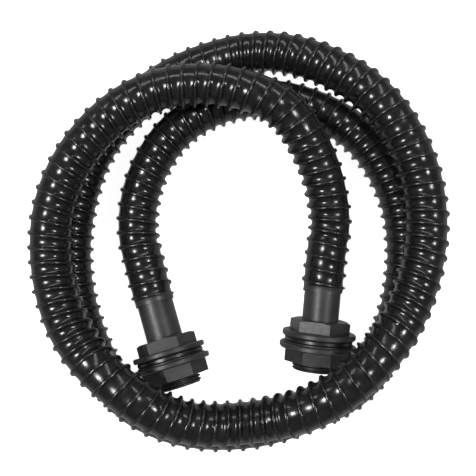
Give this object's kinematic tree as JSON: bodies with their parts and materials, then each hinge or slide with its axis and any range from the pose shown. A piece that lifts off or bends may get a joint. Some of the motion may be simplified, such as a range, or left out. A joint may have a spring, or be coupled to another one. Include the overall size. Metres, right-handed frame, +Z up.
{
  "type": "vacuum hose",
  "caption": "Coiled flexible hose with a spiral rib and, at each end, a threaded tank connector with a hexagonal head, rubber gasket, slip ring and flanged back nut.",
  "frame": {"origin": "the middle of the coil, on the surface that the hose lies on", "axes": "+Z up from that surface, +Y towards the closed top of the inner loop, so that both connectors point along -Y; +X from connector A towards connector B"},
  "size_m": [0.2801, 0.2994, 0.0823],
  "materials": {
    "hose_vinyl": "gloss_plastic",
    "connector_plastic": "matte_plastic",
    "gasket_rubber": "rubber",
    "slip_ring_plastic": "matte_plastic"
  },
  "bodies": {
    "root": {"hose_end_a": "hose_vinyl", "hose_lower_bottom": "hose_vinyl", "hose_lower_left": "hose_vinyl", "hose_upper_right": "hose_vinyl", "hose_upper_left": "hose_vinyl", "hose_end_b": "hose_vinyl", "connector_a": "connector_plastic", "gasket_a": "gasket_rubber", "connector_b": "connector_plastic", "gasket_b": "gasket_rubber"},
    "slip_a": {"slip_ring_a": "slip_ring_plastic"},
    "nut_a": {"back_nut_a": "connector_plastic"},
    "slip_b": {"slip_ring_b": "slip_ring_plastic"},
    "nut_b": {"back_nut_b": "connector_plastic"}
  },
  "joints": [
    {"name": "nut_a_travel", "type": "slide", "parent": "root", "child": "slip_a", "axis": [0.2872, -0.9491, 0.129], "range_m": [0, 0.00462]},
    {"name": "nut_a_turn", "type": "hinge", "parent": "slip_a", "child": "nut_a", "pos_m": [-0.04612, -0.08518, 0.02848], "axis": [0.2872, -0.9491, 0.129], "range_deg": [0, 720]},
    {"name": "nut_b_travel", "type": "slide", "parent": "root", "child": "slip_b", "axis": [-0.0872, -0.9962, 0], "range_m": [0, 0.00462]},
    {"name": "nut_b_turn", "type": "hinge", "parent": "slip_b", "child": "nut_b", "pos_m": [0.05539, -0.07266, 0.0292], "axis": [-0.0872, -0.9962, 0], "range_deg": [0, 720]}
  ],
  "couplings": [
    {"joint": "nut_a_travel", "follows": "nut_a_turn", "m_per_rad": 0.00036749},
    {"joint": "nut_b_travel", "follows": "nut_b_turn", "m_per_rad": 0.00036749}
  ]
}
